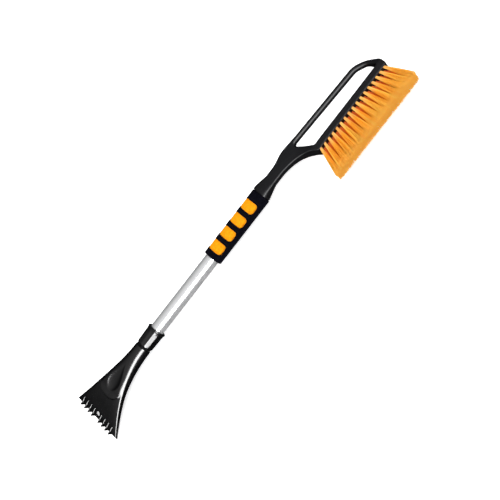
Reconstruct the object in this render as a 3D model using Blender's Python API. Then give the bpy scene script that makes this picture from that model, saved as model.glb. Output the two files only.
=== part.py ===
"""Snow brush with a detachable ice scraper.

The tool lies flat: the shaft runs along X with the scraper at -X and the brush head at +X,
the bristles point to -Y, the loop handle is on the +Y side and the thumb rest faces +Z.
Lengths are written in millimetres along the shaft's own axis and turned to metres by MM.
The finished parts are moved together, so that the origin is the bottom centre of their box.
"""

import math

import bmesh
import bpy
from mathutils import Vector

MM = 0.001
GAP = 0.3                      # free space between two pieces that touch

# Shaft tube
TUBE_R = 11.0
TUBE_BORE_R = 10.0
TUBE_START = -196.0
TUBE_END = 68.0

# Foam grip
GRIP_START = -43.9
GRIP_END = 74.6
GRIP_R = 15.0
COVER_WALL = 1.2
END_WALL = 2.4
WINDOW_COUNT = 4
WINDOW_FIRST = -25.2           # centre of the window nearest the scraper
WINDOW_PITCH = 25.2
WINDOW_LENGTH = 17.0
WINDOW_CENTRE_DEG = 10.0       # from +Z towards +Y
WINDOW_HALF_DEG = 70.0
WINDOW_CORNER = 5.5

# Lock collar and the collet inside it
COLLAR_START = -212.0
COLLAR_END = -180.0
COLLAR_NOSE_R = 12.2
COLLAR_SMALL_R = 13.1
COLLAR_BIG_R = 14.0
COLLAR_LIP_R = 15.1
COLLAR_BORE_R = TUBE_R + GAP + 0.05
CAM_BORE_R = COLLAR_BORE_R + 0.01    # inside the cam stretch, before the cam shape is pressed in
COLLAR_FLUTES = 12
FLUTE_DEPTH = 0.45
CAM_DEPTH = 0.35               # how far the bore clears the collet when the collar is open
COLLET_FLANGE_R = 11.6
COLLET_FLANGE = 2.0
COLLET_END = -165.0
SLOT_WIDTH = 1.6
SLOT_END = -188.0

# Scraper stub, its key flat and its pin
SPIGOT_R = 7.4
SPIGOT_FLAT = 6.2              # distance of the key flat from the axis, on the -Z side
SPIGOT_START = -241.0
SPIGOT_END = -170.0
PIN_R = 1.5
PIN_X = -228.0
PIN_TOP = 4.0
PIN_BOTTOM = -11.6

# Scraper head
NECK_FACE = -214.6
NECK_R = 12.8
HEAD_LENGTH = 134.6
BLADE_HALF_WIDTH = 48.7
WIDTH_POWER = 1.9              # how late the neck spreads into the blade
BLADE_EDGE_TOP = -16.9         # top face of the blade at its edge
BLADE_WALL = 3.2
SIDE_WALL = 4.5
LIP_WALL = 4.2
LIP_LEAN = 0.27                # how far the front lip leans out, per mm of depth
LIP_BACK_LEAN = 0.62
TONGUE_LIFT = 1.5
STEP_RADIUS = 31.0
STEP_FRONT = -309.5
THUMB_START = 33.0             # distances of the thumb rest from the neck face
THUMB_END = 84.0
THUMB_HALF_WIDTH = 13.0
THUMB_DEPTH = 4.2
TOOTH_FIRST = 8.3
TOOTH_PITCH = 8.9
TOOTH_PAIRS = 4
TOOTH_WIDTH = 2.0
HANG_HOLE_R = 4.2
HANG_HOLE_X = -342.8

# Brush frame
PLUG_START = 36.0
NECK_START = GRIP_END + GAP
NECK_MID_Y = 2.1
PLATE_HALF = 5.4               # half thickness of the neck and of the loop handle
BAR_HALF = 12.5                # half thickness of the bar that holds the tufts
BAR_FRONT_Y = -35.5
BAR_BACK_Y = -24.6
BAR_START = 177.0
BAR_FINISH = 334.4
EDGE_ROUND = 1.5
LOOP_ROUND = 3.6
EDGE_STEPS = 3
LONGEST_SIDE = 20.0            # longest straight piece of the frame's outline
RIVET_X = 52.0
RIVET_R = 2.0

# Tufts
TUFTS_PER_ROW = 17
TUFT_FIRST_X = 182.1
TUFT_PITCH = 9.08
ROW_PITCH = 8.6
TUFT_R = 2.1
TUFT_HOLE_R = TUFT_R + GAP + 0.05
TUFT_HOLE_DEPTH = 6.3
TIP_Y = -83.5
FAN_OUTER = 0.188              # extra spread of the tips along the bar, as a share
FAN_MIDDLE = 0.261
TIP_LEAN = -0.24               # all tips lean a little towards the grip
TIP_HALF_X = 5.2
TIP_HALF_Z = 3.7
TIP_ROW_PITCH = 7.8
TUFT_SIDES = 8

# Colours are linear values
BLACK_GLOSS = ((0.012, 0.012, 0.013), 0.22, 0.0)
BLACK_SATIN = ((0.022, 0.022, 0.024), 0.42, 0.0)
BLACK_FOAM = ((0.012, 0.012, 0.016), 0.85, 0.0)
ORANGE_FOAM = ((0.95, 0.36, 0.02), 0.80, 0.0)
ORANGE_BRISTLE = ((0.95, 0.33, 0.03), 0.50, 0.0)
BLACK_NYLON = ((0.02, 0.02, 0.021), 0.50, 0.0)
ALUMINIUM = ((0.80, 0.81, 0.82), 0.32, 1.0)
STEEL = ((0.55, 0.56, 0.57), 0.35, 1.0)

parts = []


# ---------------------------------------------------------------- helpers

def clear_scene():
    for obj in list(bpy.data.objects):
        bpy.data.objects.remove(obj, do_unlink=True)


def add_material(obj, finish):
    colour, roughness, metallic = finish
    mat = bpy.data.materials.new(obj.name)
    mat.use_nodes = True
    shader = mat.node_tree.nodes["Principled BSDF"]
    shader.inputs["Base Color"].default_value = (*colour, 1.0)
    shader.inputs["Roughness"].default_value = roughness
    shader.inputs["Metallic"].default_value = metallic
    obj.data.materials.append(mat)


def new_object(name, bm):
    """Turn a bmesh in millimetres into an object in metres, with its faces pointing out."""
    bmesh.ops.recalc_face_normals(bm, faces=bm.faces)
    bmesh.ops.scale(bm, vec=(MM, MM, MM), verts=bm.verts)
    mesh = bpy.data.meshes.new(name)
    bm.to_mesh(mesh)
    bm.free()
    obj = bpy.data.objects.new(name, mesh)
    bpy.context.collection.objects.link(obj)
    return obj


def finish_part(obj, finish, sharp_deg=32.0):
    obj.data.shade_smooth()
    obj.data.set_sharp_from_angle(angle=math.radians(sharp_deg))
    add_material(obj, finish)
    parts.append(obj)
    return obj


def cut(target, cutter, operation="DIFFERENCE"):
    """Apply one Boolean to the target and throw the cutter away."""
    mod = target.modifiers.new(operation.title(), "BOOLEAN")
    mod.operation = operation
    mod.solver = "EXACT"
    mod.object = cutter
    graph = bpy.context.evaluated_depsgraph_get()
    graph.update()
    result = bpy.data.meshes.new_from_object(target.evaluated_get(graph))
    target.modifiers.remove(mod)
    old = target.data
    target.data = result
    bpy.data.meshes.remove(old)
    bpy.data.objects.remove(cutter, do_unlink=True)


def skin_rings(bm, rings, close=True):
    """Join rings of vertices one after the other, and cap the two ends."""
    for ring, following in zip(rings, rings[1:]):
        for i in range(len(ring)):
            j = (i + 1) % len(ring)
            bm.faces.new((ring[i], ring[j], following[j], following[i]))
    if close:
        bm.faces.new(rings[0][::-1])
        bm.faces.new(rings[-1])


def loft(sections):
    """A closed solid through a list of sections, each a list of points."""
    bm = bmesh.new()
    rings = [[bm.verts.new(point) for point in section] for section in sections]
    skin_rings(bm, rings)
    return bm


def oval(count, half_y, high, low, power_high=2.0, power_low=2.0, mid_y=0.0, widest=0.0):
    """Points (y, z) of a superellipse whose upper and lower halves differ."""
    points = []
    for i in range(count):
        angle = 2.0 * math.pi * (i + 0.5) / count
        c, s = math.cos(angle), math.sin(angle)
        power = power_high if s > 0.0 else power_low
        reach = high - widest if s > 0.0 else widest - low
        y = mid_y + half_y * math.copysign(abs(c) ** (2.0 / power), c)
        z = widest + reach * math.copysign(abs(s) ** (2.0 / power), s)
        points.append((y, z))
    return points


def at_x(x, points):
    return [(x, y, z) for y, z in points]


def turned(profile, segments):
    """Spin a closed profile of (x, radius) points round the shaft's axis."""
    bm = bmesh.new()
    verts = [bm.verts.new((x, 0.0, r)) for x, r in profile]
    edges = [bm.edges.new((a, b)) for a, b in zip(verts, verts[1:] + verts[:1])]
    bmesh.ops.spin(bm, geom=verts + edges, cent=(0, 0, 0), axis=(1, 0, 0),
                   angle=2.0 * math.pi, steps=segments, use_merge=True)
    bmesh.ops.remove_doubles(bm, verts=bm.verts, dist=0.0005)
    return bm


def turned_solid(profile, segments):
    """Spin an open profile, and close its two ends with flat faces."""
    sections = []
    for x, r in profile:
        sections.append(at_x(x, oval(segments, r, r, -r)))
    return loft(sections)


def rod(radius, start, end, segments=16):
    """A plain round rod between two points, as a bmesh."""
    start, end = Vector(start), Vector(end)
    along = end - start
    bm = bmesh.new()
    bmesh.ops.create_cone(bm, cap_ends=True, segments=segments, radius1=radius,
                          radius2=radius, depth=along.length)
    turn = Vector((0, 0, 1)).rotation_difference(along).to_matrix()
    bmesh.ops.rotate(bm, cent=(0, 0, 0), matrix=turn, verts=bm.verts)
    bmesh.ops.translate(bm, vec=(start + end) / 2.0, verts=bm.verts)
    return bm


def block(low, high):
    """A box between two corners, as a bmesh."""
    low, high = Vector(low), Vector(high)
    bm = bmesh.new()
    bmesh.ops.create_cube(bm, size=1.0)
    bmesh.ops.scale(bm, vec=high - low, verts=bm.verts)
    bmesh.ops.translate(bm, vec=(low + high) / 2.0, verts=bm.verts)
    return bm


def key_flat(bm, radius, flat):
    """Press the underside of a round surface of this radius to a flat at z = -flat."""
    for vert in bm.verts:
        if abs(math.hypot(vert.co.y, vert.co.z) - radius) < 0.01 and vert.co.z < -flat:
            vert.co.z = -flat


# ---------------------------------------------------------------- shaft and grip

def make_tube():
    profile = [(TUBE_START, TUBE_BORE_R), (TUBE_START, TUBE_R), (TUBE_END, TUBE_R), (TUBE_END, TUBE_BORE_R)]
    tube = new_object("shaft_tube", turned(profile, 40))
    hole = rod(RIVET_R + GAP, (RIVET_X, 0, -TUBE_R - 2), (RIVET_X, 0, TUBE_R + 2))
    cut(tube, new_object("rivet_hole", hole))
    finish_part(tube, ALUMINIUM)


def make_grip_core():
    inner = TUBE_R + GAP
    outer = GRIP_R - COVER_WALL - GAP
    start = GRIP_START + END_WALL + GAP
    end = GRIP_END - END_WALL - GAP
    profile = [(start, inner), (start, outer), (end, outer), (end, inner)]
    finish_part(new_object("grip_core", turned(profile, 40)), ORANGE_FOAM)


def window_cutter(centre_x):
    """A curved block with round corners, as wide as one window in the grip's cover."""
    arc = math.radians(WINDOW_HALF_DEG) * GRIP_R
    corner_steps = 4
    turns = [math.pi / 2 * i / corner_steps for i in range(corner_steps + 1)]
    stops = [arc - WINDOW_CORNER * (1 - math.sin(turn)) for turn in turns]
    stops = sorted([-s for s in stops] + [arc * k / 4 for k in (-2, 0, 2)] + stops)
    sections = []
    for stop in stops:
        past = max(0.0, abs(stop) - (arc - WINDOW_CORNER))
        half = WINDOW_LENGTH / 2 - WINDOW_CORNER + math.sqrt(max(WINDOW_CORNER ** 2 - past ** 2, 0.04))
        angle = math.radians(WINDOW_CENTRE_DEG) + stop / GRIP_R
        out = Vector((0.0, math.sin(angle), math.cos(angle)))
        low, high = out * (GRIP_R - COVER_WALL - 1.0), out * (GRIP_R + 2.0)
        along = Vector((half, 0.0, 0.0))
        middle = Vector((centre_x, 0.0, 0.0))
        sections.append([middle + low - along, middle + low + along,
                         middle + high + along, middle + high - along])
    return new_object("window", loft(sections))


def make_grip_cover():
    inner, outer = GRIP_R - COVER_WALL, GRIP_R
    bore = TUBE_R + GAP
    soft = 1.2
    profile = [
        (GRIP_START, bore), (GRIP_START, outer - soft),
        (GRIP_START + 0.35 * soft, outer - 0.35 * soft),
        (GRIP_START + soft, outer), (GRIP_END - soft, outer), (GRIP_END - 0.35 * soft, outer - 0.35 * soft),
        (GRIP_END, outer - soft), (GRIP_END, bore), (GRIP_END - END_WALL, bore), (GRIP_END - END_WALL, inner),
        (GRIP_START + END_WALL, inner), (GRIP_START + END_WALL, bore),
    ]
    cover = new_object("grip_cover", turned(profile, 48))
    for i in range(WINDOW_COUNT):
        cut(cover, window_cutter(WINDOW_FIRST + i * WINDOW_PITCH))
    finish_part(cover, BLACK_FOAM)


# ---------------------------------------------------------------- twist lock

def make_collar():
    profile = [
        (COLLAR_START, COLLAR_BORE_R), (COLLAR_START, COLLAR_NOSE_R), (COLLAR_START + 2.6, COLLAR_SMALL_R),
        (COLLAR_END - 7.0, COLLAR_BIG_R - 0.2), (COLLAR_END - 4.6, COLLAR_BIG_R),
        (COLLAR_END - 2.6, COLLAR_LIP_R), (COLLAR_END - 0.8, COLLAR_LIP_R),
        (COLLAR_END, COLLAR_LIP_R - 0.8), (COLLAR_END, COLLAR_BORE_R), (TUBE_START, COLLAR_BORE_R),
        (TUBE_START - 1.0, CAM_BORE_R), (COLLAR_START + 1.0, CAM_BORE_R),
    ]
    bm = turned(profile, 72)
    for vert in bm.verts:
        x, y, z = vert.co
        radius = math.hypot(y, z)
        angle = math.atan2(y, z)
        shift = 0.0
        if COLLAR_START + 2.0 < x < COLLAR_END - 6.0 and radius > COLLAR_SMALL_R - 0.1:
            shift = -FLUTE_DEPTH * (0.5 - 0.5 * math.cos(COLLAR_FLUTES * angle))
        if abs(radius - CAM_BORE_R) < 0.004:
            shift = CAM_DEPTH * math.sin(angle) ** 2
        vert.co.y = (radius + shift) * math.sin(angle)
        vert.co.z = (radius + shift) * math.cos(angle)
    finish_part(new_object("lock_collar", bm), BLACK_GLOSS)


def make_collet():
    flange_start = COLLAR_START - GAP - COLLET_FLANGE
    finger_end = TUBE_START - GAP
    bore = SPIGOT_R + GAP
    plug = TUBE_BORE_R - GAP
    profile = [
        (flange_start, bore), (flange_start, COLLET_FLANGE_R), (COLLAR_START - GAP, COLLET_FLANGE_R),
        (COLLAR_START - GAP, TUBE_R), (finger_end, TUBE_R), (finger_end, plug),
        (COLLET_END, plug), (COLLET_END, bore),
    ]
    bm = turned(profile, 48)
    key_flat(bm, bore, SPIGOT_FLAT + GAP)
    for vert in bm.verts:
        radius = math.hypot(vert.co.y, vert.co.z)
        if abs(radius - TUBE_R) < 0.004:
            angle = math.atan2(vert.co.y, vert.co.z)
            radius -= CAM_DEPTH * math.sin(angle) ** 2
            vert.co.y, vert.co.z = radius * math.sin(angle), radius * math.cos(angle)
    collet = new_object("collet", bm)
    reach = COLLET_FLANGE_R + 2.0
    for half_y, half_z in ((SLOT_WIDTH / 2, reach), (reach, SLOT_WIDTH / 2)):
        slot = block((flange_start - 1, -half_y, -half_z), (SLOT_END, half_y, half_z))
        cut(collet, new_object("slot", slot))
    finish_part(collet, BLACK_NYLON)


# ---------------------------------------------------------------- scraper

def make_spigot():
    tip = 1.6
    profile = [(SPIGOT_START, SPIGOT_R), (SPIGOT_END - tip, SPIGOT_R), (SPIGOT_END, SPIGOT_R - tip)]
    bm = turned_solid(profile, 40)
    key_flat(bm, SPIGOT_R, SPIGOT_FLAT)
    spigot = new_object("scraper_spigot", bm)
    hole = rod(PIN_R + GAP, (PIN_X, 0, -SPIGOT_R - 2), (PIN_X, 0, PIN_TOP + GAP))
    cut(spigot, new_object("pin_hole", hole))
    finish_part(spigot, BLACK_SATIN)


def make_pin():
    pin = rod(PIN_R, (PIN_X, 0, PIN_BOTTOM), (PIN_X, 0, PIN_TOP))
    finish_part(new_object("spigot_pin", pin), STEEL)


def blade_top(x):
    """Height of the head's top face above the shaft's axis, which falls towards the edge."""
    distance = NECK_FACE - x
    for (d0, top0, *_), (d1, top1, *_) in zip(HEAD_STATIONS, HEAD_STATIONS[1:]):
        if distance <= d1:
            return top0 + (top1 - top0) * (distance - d0) / (d1 - d0)
    return BLADE_EDGE_TOP


def head_half_width(distance):
    return NECK_R + (BLADE_HALF_WIDTH - NECK_R) * (distance / HEAD_LENGTH) ** WIDTH_POWER


# distance from the neck face, top, bottom, roundness of the upper and of the lower half
HEAD_STATIONS = (
    (0.0, 12.1, -12.1, 2.0, 2.0),
    (0.8, NECK_R, -NECK_R, 2.0, 2.0),
    (14.0, NECK_R, -NECK_R, 2.0, 2.0),
    (28.0, 12.3, -12.3, 2.1, 2.1),
    (42.0, 11.3, -11.6, 2.3, 2.3),
    (56.0, 9.7, -10.8, 2.7, 2.7),
    (68.0, 7.4, -10.3, 3.0, 3.2),
    (78.0, 4.8, -10.6, 3.4, 4.0),
    (88.0, 1.9, -11.9, 3.8, 5.0),
    (100.0, -2.2, -14.4, 4.2, 6.0),
    (112.0, -6.8, -17.8, 4.6, 7.0),
    (124.0, -11.8, -21.8, 5.0, 8.0),
    (HEAD_LENGTH, BLADE_EDGE_TOP, -26.0, 5.4, 9.0),
)


def head_body():
    sections = []
    for distance, top, bottom, power_top, power_bottom in HEAD_STATIONS:
        x = NECK_FACE - distance
        half = head_half_width(distance)
        if distance == 0.0:
            half -= NECK_R - top
        widest = (top + bottom) / 2 - 0.12 * (top - bottom) * (power_bottom - 2.0) / 7.0
        points = oval(56, half, top, bottom, power_top, power_bottom, widest=widest)
        lean = LIP_LEAN if distance == HEAD_LENGTH else 0.0
        sections.append([(x - lean * (top - z), y, z) for y, z in points])
    return loft(sections)


def head_tongue():
    """The raised end of the handle, which stops in a round step on the blade."""
    sections = []
    for distance, lift in ((40.0, -2.0), (56.0, -0.3), (66.0, 0.9), (76.0, TONGUE_LIFT), (88.0, TONGUE_LIFT),
                           (104.0, TONGUE_LIFT)):
        x = NECK_FACE - distance
        top = blade_top(x) + lift
        points = oval(40, head_half_width(distance) - 3.0, top, top - 7.0, 3.6, 4.0, widest=top - 3.5)
        sections.append(at_x(x, points))
    return loft(sections)


def thumb_cutter():
    """A scoop with a teardrop rim, wide towards the blade and pointed towards the shaft."""
    sections = []
    steps = 12
    for i in range(steps + 1):
        share = i / steps
        distance = THUMB_START + (THUMB_END - THUMB_START) * share
        swell = math.sin(math.pi * share ** 1.7) ** 0.75 if 0 < i < steps else 0.0
        half = max(THUMB_HALF_WIDTH * swell, 0.35)
        depth = max(THUMB_DEPTH * swell, 0.12)
        radius = (half ** 2 + depth ** 2) / (2 * depth)
        x = NECK_FACE - distance
        centre = blade_top(x) + radius - depth
        arc = math.asin(min(1.0, half * 1.6 / radius))
        bottom = [(radius * math.sin(a), centre - radius * math.cos(a)) for a in
                  [arc * (k / 6 - 1) for k in range(13)]]
        lid = bottom[-1][1] + 12.0
        points = bottom + [(bottom[-1][0], lid), (bottom[0][0], lid)]
        sections.append(at_x(x, points))
    return loft(sections)


def blade_cavity():
    """The hollow under the blade, inside its side walls and its front lip."""
    sections = []
    front = HEAD_LENGTH - LIP_WALL
    for distance in (66.0, 78.0, 88.0, 100.0, 112.0, 124.0, front):
        x = NECK_FACE - distance
        roof = blade_top(x) - BLADE_WALL - max(0.0, 86.0 - distance) * 0.4
        half = head_half_width(distance) - SIDE_WALL
        points = oval(40, half, roof, -29.0, 5.0, 12.0, widest=-22.0)
        lean = LIP_BACK_LEAN if distance == front else 0.0
        sections.append([(x - lean * (roof - z), y, z) for y, z in points])
    return loft(sections)


def tooth(mid_y):
    """One chipping tooth: a rib on the blade that runs out past its edge and down its front lip."""
    edge = NECK_FACE - HEAD_LENGTH
    profile = (
        (edge + 11.5, blade_top(edge + 11.5) - 0.8),
        (edge + 9.5, blade_top(edge + 9.5) + 1.8),
        (edge, blade_top(edge) + 2.6),
        (edge - 4.4, blade_top(edge) + 2.0),
        (edge - 4.2, blade_top(edge) + 0.6),
        (edge - 2.8, blade_top(edge) - 8.0),
        (edge - 1.0, blade_top(edge) - 8.0),
        (edge + 2.0, blade_top(edge) - 1.6),
    )
    half = TOOTH_WIDTH / 2
    sections = [[(x, mid_y + side, z) for x, z in profile] for side in (-half, half)]
    return loft(sections)


def make_scraper_head():
    head = new_object("scraper_head", head_body())
    tongue = new_object("tongue", head_tongue())
    step_x = STEP_FRONT + STEP_RADIUS
    step = rod(STEP_RADIUS, (step_x, 0, -40), (step_x, 0, 40), 72)
    cut(tongue, new_object("step", step), "INTERSECT")
    cut(head, tongue, "UNION")
    cut(head, new_object("thumb", thumb_cutter()))
    cut(head, new_object("cavity", blade_cavity()))
    for i in range(TOOTH_PAIRS):
        for side in (-1, 1):
            mid_y = side * (TOOTH_FIRST + i * TOOTH_PITCH)
            cut(head, new_object("tooth", tooth(mid_y)), "UNION")
    socket_end = SPIGOT_START - GAP
    socket = rod(SPIGOT_R + GAP, (socket_end, 0, 0), (NECK_FACE + 5, 0, 0), 40)
    cut(head, new_object("socket", socket))
    cut(head, new_object("pin_hole", rod(PIN_R + GAP, (PIN_X, 0, -NECK_R - 3), (PIN_X, 0, -2))))
    hole = rod(HANG_HOLE_R, (HANG_HOLE_X, 0, -40), (HANG_HOLE_X, 0, 10), 24)
    cut(head, new_object("hang_hole", hole))
    finish_part(head, BLACK_GLOSS)


# ---------------------------------------------------------------- brush frame

def rounded_outline(corners, step_deg=11.0):
    """Points of a polygon whose corners (x, y, radius) are arcs and whose long sides are divided."""
    points = []
    count = len(corners)
    for i in range(count):
        x, y, radius = corners[i]
        here = Vector((x, y))
        if radius == 0.0:
            points.append(here)
            continue
        before = Vector(corners[i - 1][:2]) - here
        after = Vector(corners[(i + 1) % count][:2]) - here
        opening = before.angle(after)
        tangent = radius / math.tan(opening / 2)
        start, end = here + before.normalized() * tangent, here + after.normalized() * tangent
        inwards = (before.normalized() + after.normalized()).normalized()
        centre = here + inwards * radius / math.sin(opening / 2)
        turn = math.pi - opening
        steps = max(2, math.ceil(math.degrees(turn) / step_deg))
        way = 1.0 if (start - centre).cross(end - centre) > 0 else -1.0
        for k in range(steps + 1):
            angle = way * turn * k / steps
            arm = start - centre
            points.append(centre + Vector((arm.x * math.cos(angle) - arm.y * math.sin(angle),
                                           arm.x * math.sin(angle) + arm.y * math.cos(angle))))
    divided = []
    for here, following in zip(points, points[1:] + points[:1]):
        pieces = max(1, math.ceil((following - here).length / LONGEST_SIDE))
        divided += [here.lerp(following, k / pieces) for k in range(pieces)]
    return divided


OUTER_CORNERS = (
    (97.0, -7.3, 0.0),
    (97.0, 11.3, 0.0),
    (121.0, 11.3, 60.0),
    (140.0, 16.1, 50.0),
    (305.0, 10.3, 36.0),
    (324.3, -2.4, 30.0),
    (BAR_FINISH, -21.0, 24.0),
    (BAR_FINISH, BAR_FRONT_Y, 4.0),
    (BAR_START, BAR_FRONT_Y, 6.5),
    (170.0, -24.5, 40.0),
    (149.0, -12.5, 70.0),
    (125.0, -7.4, 90.0),
)

INNER_CORNERS = (
    (158.9, 7.5, 4.0),
    (301.0, 1.5, 22.0),
    (318.5, -7.5, 18.0),
    (327.5, BAR_BACK_Y, 3.0),
    (180.3, BAR_BACK_Y, 5.0),
)


def plate_half(x, y):
    """Half thickness of the frame, which grows from the loop handle to the bar."""
    share = min(max((-y - 6.0) / 18.0, 0.0), 1.0)
    near_fork = min(max((191.0 - x) / 14.0, 0.0), 1.0)
    return PLATE_HALF + (BAR_HALF - PLATE_HALF) * share ** 1.25 * (1.0 - 0.22 * near_fork)


def edge_round(x, y):
    """Radius of the frame's long edges: large on the loop handle, small elsewhere."""
    near = min(max((x - 150.0) / 25.0, 0.0), 1.0)
    high = min(max((y + 12.0) / 12.0, 0.0), 1.0)
    return EDGE_ROUND + (LOOP_ROUND - EDGE_ROUND) * near * high


def pillow_walls(bm, outline, inwards):
    """Stack copies of an outline into a wall with round long edges; give back its end rings."""
    count = len(outline)
    normals = []
    for i in range(count):
        along = (outline[(i + 1) % count] - outline[i - 1]).normalized()
        normals.append(Vector((along.y, -along.x)) * inwards)
    angles = [math.pi / 2 * k / EDGE_STEPS for k in range(EDGE_STEPS + 1)]
    layers = [(-1.0, a) for a in angles[::-1]] + [(1.0, a) for a in angles]
    rings = []
    for side, angle in layers:
        ring = []
        for point, normal in zip(outline, normals):
            radius = edge_round(point.x, point.y)
            half = plate_half(point.x, point.y)
            place = point + normal * radius * (1.0 - math.cos(angle))
            ring.append(bm.verts.new((place.x, place.y, side * (half - radius + radius * math.sin(angle)))))
        rings.append(ring)
    skin_rings(bm, rings, close=False)
    return rings[0], rings[-1]


def frame_plate():
    """Fork, loop handle and bar in one plate, with the hand opening through it."""
    bm = bmesh.new()
    outer = rounded_outline(OUTER_CORNERS)
    inner = rounded_outline(INNER_CORNERS)
    outer_bottom, outer_top = pillow_walls(bm, outer, 1.0)
    inner_bottom, inner_top = pillow_walls(bm, inner, -1.0)
    for rings in ((outer_bottom, inner_bottom), (outer_top, inner_top)):
        edges = []
        for ring in rings:
            edges += [bm.edges.get((ring[i - 1], ring[i])) for i in range(len(ring))]
        bmesh.ops.triangle_fill(bm, use_beauty=True, use_dissolve=False, edges=edges)
    return bm


def frame_neck():
    """The round foot of the fork, which turns into the flat plate."""
    sections = []
    for x, half_y, half_z, mid_y, power in (
        (NECK_START, 12.7, 12.2, 0.6, 2.5),
        (NECK_START + 0.8, 13.4, 12.8, 0.7, 2.6),
        (79.5, 13.0, 12.1, 1.3, 2.8),
        (85.0, 12.0, 10.6, 1.7, 3.2),
        (91.0, 10.9, 8.5, 1.9, 3.8),
        (98.0, 9.8, 6.5, 2.0, 5.0),
        (105.0, 8.7, 5.1, NECK_MID_Y, 6.5),
    ):
        sections.append(at_x(x, oval(40, half_y, half_z, -half_z, power, power, mid_y=mid_y)))
    return loft(sections)


def tuft_rows():
    """The base (x, z) of every tuft, row by row; the middle row stands between the others."""
    for row in (-1, 0, 1):
        count = TUFTS_PER_ROW - 1 if row == 0 else TUFTS_PER_ROW
        first = TUFT_FIRST_X + (TUFT_PITCH / 2 if row == 0 else 0.0)
        for i in range(count):
            yield row, i, first + i * TUFT_PITCH


def make_brush_frame():
    frame = new_object("brush_frame", frame_plate())
    cut(frame, new_object("neck", frame_neck()), "UNION")
    plug = turned_solid([(PLUG_START, TUBE_BORE_R - GAP - 1), (PLUG_START + 1, TUBE_BORE_R - GAP),
                         (NECK_START + 1, TUBE_BORE_R - GAP)], 40)
    cut(frame, new_object("plug", plug), "UNION")
    hole = rod(RIVET_R + GAP, (RIVET_X, 0, -TUBE_R - 2), (RIVET_X, 0, TUBE_R + 2))
    cut(frame, new_object("rivet_hole", hole))
    holes = bmesh.new()
    for row, _, x in tuft_rows():
        z = row * ROW_PITCH
        drill = rod(TUFT_HOLE_R, (x, BAR_FRONT_Y - 2, z), (x, BAR_FRONT_Y + TUFT_HOLE_DEPTH, z), TUFT_SIDES)
        mesh = bpy.data.meshes.new("drill")
        drill.to_mesh(mesh)
        drill.free()
        holes.from_mesh(mesh)
        bpy.data.meshes.remove(mesh)
    cut(frame, new_object("tuft_holes", holes))
    finish_part(frame, BLACK_SATIN)


def make_rivet():
    reach = TUBE_R - 0.1
    rivet = rod(RIVET_R, (RIVET_X, 0, -reach), (RIVET_X, 0, reach))
    finish_part(new_object("frame_rivet", rivet), STEEL)


# ---------------------------------------------------------------- bristles

def make_tufts():
    mouth = BAR_FRONT_Y - 0.4
    root = BAR_FRONT_Y + TUFT_HOLE_DEPTH - GAP
    middle_x = TUFT_FIRST_X + TUFT_PITCH * (TUFTS_PER_ROW - 1) / 2
    names = {-1: "lower", 0: "middle", 1: "upper"}
    for row, i, x in tuft_rows():
        z = row * ROW_PITCH
        tip_x = x + (x - middle_x) * (FAN_MIDDLE if row == 0 else FAN_OUTER) + TIP_LEAN
        tip_z = row * TIP_ROW_PITCH
        sections = []
        for y, share in ((root, 0.0), (mouth, 0.0), (mouth + (TIP_Y - mouth) * 0.45, 0.45), (TIP_Y, 1.0)):
            half_x = TUFT_R + (TIP_HALF_X - TUFT_R) * share
            half_z = TUFT_R + (TIP_HALF_Z - TUFT_R) * share
            mid_x = x + (tip_x - x) * share
            mid_z = z + (tip_z - z) * share
            ring = oval(TUFT_SIDES, half_x, half_z, -half_z, 2.0 + 4.0 * share, 2.0 + 4.0 * share)
            sections.append([(mid_x + across, y, mid_z + up) for across, up in ring])
        tuft = new_object(f"tuft_{names[row]}_{i + 1:02d}", loft(sections))
        finish_part(tuft, ORANGE_BRISTLE)


# ---------------------------------------------------------------- assembly

def stand_on_origin():
    """Move every part so that the origin is the bottom centre of the whole tool's box."""
    corners = [part.matrix_world @ vert.co for part in parts for vert in part.data.vertices]
    low = Vector([min(c[k] for c in corners) for k in range(3)])
    high = Vector([max(c[k] for c in corners) for k in range(3)])
    shift = Vector(((low.x + high.x) / 2, (low.y + high.y) / 2, low.z))
    for part in parts:
        part.location = -shift


def main():
    clear_scene()
    make_tube()
    make_grip_core()
    make_grip_cover()
    make_collar()
    make_collet()
    make_spigot()
    make_pin()
    make_scraper_head()
    make_brush_frame()
    make_rivet()
    make_tufts()
    stand_on_origin()


main()
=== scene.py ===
"""Looks of the snow brush with its detachable ice scraper.

New pieces are drawn in the shaft's own millimetres: x runs along the shaft towards the brush head,
y = z = 0 is the shaft's axis, the bristles point to -y and the thumb rest faces +z.
place() turns them to metres in the frame.
"""
import math
import random

import bmesh
import bpy
from mathutils import Matrix, Vector


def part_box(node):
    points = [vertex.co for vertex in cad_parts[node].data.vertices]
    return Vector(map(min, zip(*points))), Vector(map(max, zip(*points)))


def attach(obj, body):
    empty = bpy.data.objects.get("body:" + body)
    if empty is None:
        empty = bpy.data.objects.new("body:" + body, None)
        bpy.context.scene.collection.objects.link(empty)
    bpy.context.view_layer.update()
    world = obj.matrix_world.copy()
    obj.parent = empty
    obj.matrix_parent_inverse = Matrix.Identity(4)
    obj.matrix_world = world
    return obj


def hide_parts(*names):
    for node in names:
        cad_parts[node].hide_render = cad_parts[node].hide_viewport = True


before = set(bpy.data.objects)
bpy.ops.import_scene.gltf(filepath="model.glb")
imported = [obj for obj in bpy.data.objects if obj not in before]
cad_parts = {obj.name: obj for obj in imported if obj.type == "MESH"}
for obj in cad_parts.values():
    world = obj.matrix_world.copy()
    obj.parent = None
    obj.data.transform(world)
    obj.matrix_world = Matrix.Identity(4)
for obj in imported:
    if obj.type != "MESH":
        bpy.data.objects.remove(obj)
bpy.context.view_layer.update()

MM = 0.001
TUBE_LOW, TUBE_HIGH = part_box("shaft_tube")
TUBE_FOOT = -196.0                       # x of the tube's lower end in the shaft's millimetres
SHAFT_ZERO = Vector((TUBE_LOW.x - TUBE_FOOT * MM, (TUBE_LOW.y + TUBE_HIGH.y) / 2,
                     (TUBE_LOW.z + TUBE_HIGH.z) / 2))
WELD = 0.00001                           # metres; points closer than this are one point


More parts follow.
